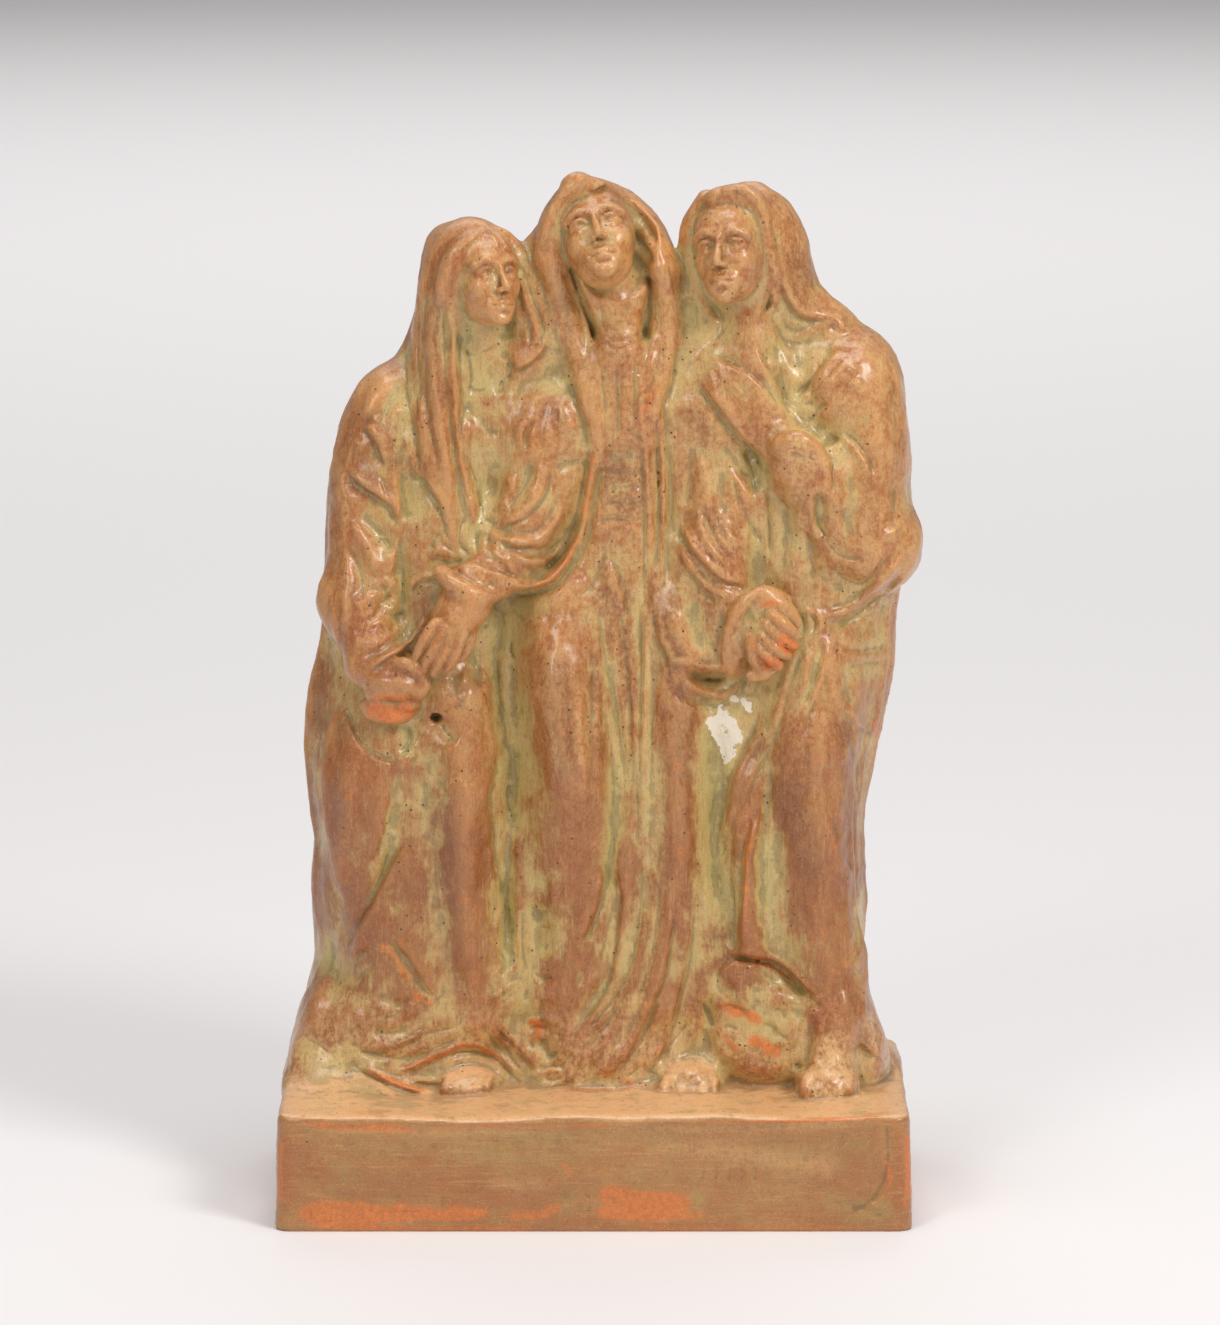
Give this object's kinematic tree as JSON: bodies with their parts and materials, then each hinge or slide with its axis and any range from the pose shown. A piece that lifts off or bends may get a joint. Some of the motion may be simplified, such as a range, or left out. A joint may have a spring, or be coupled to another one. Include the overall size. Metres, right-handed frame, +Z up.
{
  "type": "terracotta figure group",
  "caption": "Terracotta group of draped standing women in hoods and mantles on a plain rectangular plinth, modelled in one piece to stand on a shelf.",
  "frame": {"origin": "middle of the plinth's flat underside", "axes": "+Z up, front towards -Y, the viewer's right along +X"},
  "size_m": [0.1878, 0.104, 0.3023],
  "materials": {
    "terracotta": "patinated fired clay, satin, reddish brown with olive green in the hollows and orange where it is rubbed"
  },
  "bodies": {
    "root": {"three_women_on_plinth": "terracotta"}
  },
  "joints": []
}
